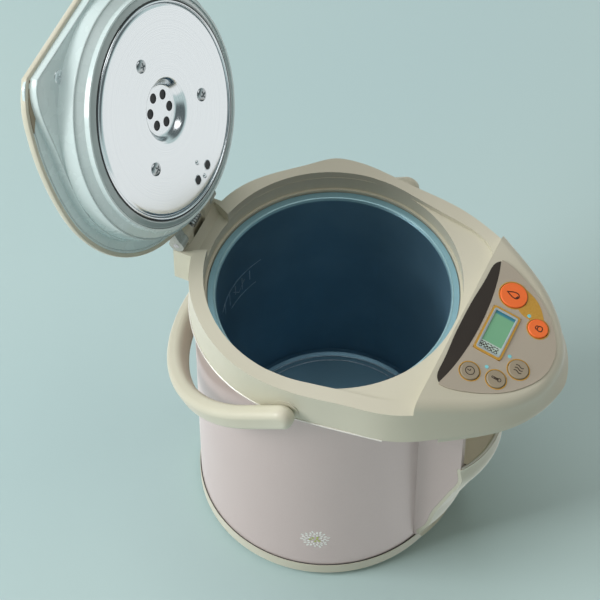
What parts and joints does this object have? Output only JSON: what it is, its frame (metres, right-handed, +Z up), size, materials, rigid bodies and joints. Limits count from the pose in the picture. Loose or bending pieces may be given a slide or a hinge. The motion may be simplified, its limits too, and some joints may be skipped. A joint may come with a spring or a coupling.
{
  "type": "electric thermo pot",
  "caption": "Electric hot-water pot with hinged lid, bail handle, pumped spout under a control nose and an inner lid plate held by three screws.",
  "frame": {"origin": "on the floor, on the vessel's vertical axis", "axes": "+X across the front to the right as seen from the front, +Y towards the lid's hinge, +Z up"},
  "size_m": [0.2202, 0.357, 0.4285],
  "materials": {
    "beige_plastic": "satin moulded",
    "shell_paint": "pearl metallic coat",
    "navy_coat": "dark non-stick coat with blue flange",
    "polished_steel": "mirror polished, spun",
    "brushed_steel": "brushed",
    "silicone": "matt",
    "translucent_lid": "semi-clear moulding",
    "panel_sheet": "printed film",
    "dark_strip": "gloss",
    "gold_trim": "metallic print",
    "display": "reflective display window",
    "orange_rubber": "soft-touch button",
    "greige_rubber": "soft-touch button",
    "green_board": "circuit board",
    "black_plastic": "inner moulding",
    "aluminium": "plain",
    "brass": "plain",
    "clear_tube": "silicone hose",
    "clear_window": "clear",
    "lens": "cyan lens"
  },
  "bodies": {
    "body": {"base_cover": "beige_plastic", "rubber_feet": "silicone", "base_screws": "brushed_steel", "chassis": "black_plastic", "outer_shell": "shell_paint", "power_inlet": "black_plastic", "inlet_pins": "brass", "power_board": "green_board", "inner_vessel": "navy_coat", "vessel_seal": "silicone", "insulation_jacket": "black_plastic", "heater_band": "aluminium", "thermal_cutout": "brushed_steel", "pump_housing": "black_plastic", "pump_motor": "brushed_steel", "riser_tube": "clear_tube", "spout_nozzle": "beige_plastic", "top_collar": "beige_plastic", "nose_underside": "beige_plastic", "control_panel": "panel_sheet", "panel_strip": "dark_strip", "indicator_lenses": "lens", "lcd_frame": "gold_trim", "lcd_window": "display", "lcd_module": "black_plastic", "control_board": "green_board", "neck_cover": "shell_paint", "neck_trim": "beige_plastic", "gauge_window": "clear_window", "hinge_pin": "brushed_steel", "hinge_spring": "brushed_steel", "handle_pivots": "brushed_steel"},
    "lid": {"lid_shell": "beige_plastic", "lid_liner": "translucent_lid", "vent_cap": "beige_plastic", "steam_tube": "silicone", "inner_lid_plate": "polished_steel", "plate_screws": "brushed_steel", "bead_ring": "brushed_steel", "lid_gasket": "silicone"},
    "latch": {"lid_latch": "beige_plastic"},
    "bail": {"handle": "beige_plastic"},
    "impeller": {"pump_impeller": "black_plastic"},
    "dispense_button": {"dispense_button": "orange_rubber"},
    "unlock_button": {"unlock_button": "orange_rubber"},
    "timer_button": {"timer_button": "greige_rubber"},
    "temperature_button": {"temperature_button": "greige_rubber"},
    "reboil_button": {"reboil_button": "greige_rubber"}
  },
  "joints": [
    {"name": "lid_hinge", "type": "hinge", "parent": "body", "child": "lid", "pos_m": [0, 0.1044, 0.2477], "axis": [1, 0, 0], "range_deg": [0, 115]},
    {"name": "handle_swing", "type": "hinge", "parent": "body", "child": "bail", "pos_m": [0, -0.0094, 0.2188], "axis": [1, 0, 0], "range_deg": [0, 44]},
    {"name": "latch_lift", "type": "hinge", "parent": "lid", "child": "latch", "pos_m": [0, 0.17925, 0.39993], "axis": [-1, 0, 0], "range_deg": [0, 25], "stiffness_Nm_per_rad": 0.02, "springref_deg": -11.46},
    {"name": "impeller_spin", "type": "hinge", "parent": "body", "child": "impeller", "pos_m": [0, -0.046, 0.03], "axis": [0, 0, 1], "continuous": true},
    {"name": "dispense_press", "type": "slide", "parent": "body", "child": "dispense_button", "axis": [0, 0.2588, -0.9659], "range_m": [0, 0.0008], "stiffness_N_per_m": 400, "springref_m": -0.0005},
    {"name": "unlock_press", "type": "slide", "parent": "body", "child": "unlock_button", "axis": [0, 0.2588, -0.9659], "range_m": [0, 0.0008], "stiffness_N_per_m": 400, "springref_m": -0.0005},
    {"name": "timer_press", "type": "slide", "parent": "body", "child": "timer_button", "axis": [0, 0.2588, -0.9659], "range_m": [0, 0.0008], "stiffness_N_per_m": 400, "springref_m": -0.0005},
    {"name": "temperature_press", "type": "slide", "parent": "body", "child": "temperature_button", "axis": [0, 0.2588, -0.9659], "range_m": [0, 0.0008], "stiffness_N_per_m": 400, "springref_m": -0.0005},
    {"name": "reboil_press", "type": "slide", "parent": "body", "child": "reboil_button", "axis": [0, 0.2588, -0.9659], "range_m": [0, 0.0008], "stiffness_N_per_m": 400, "springref_m": -0.0005}
  ]
}
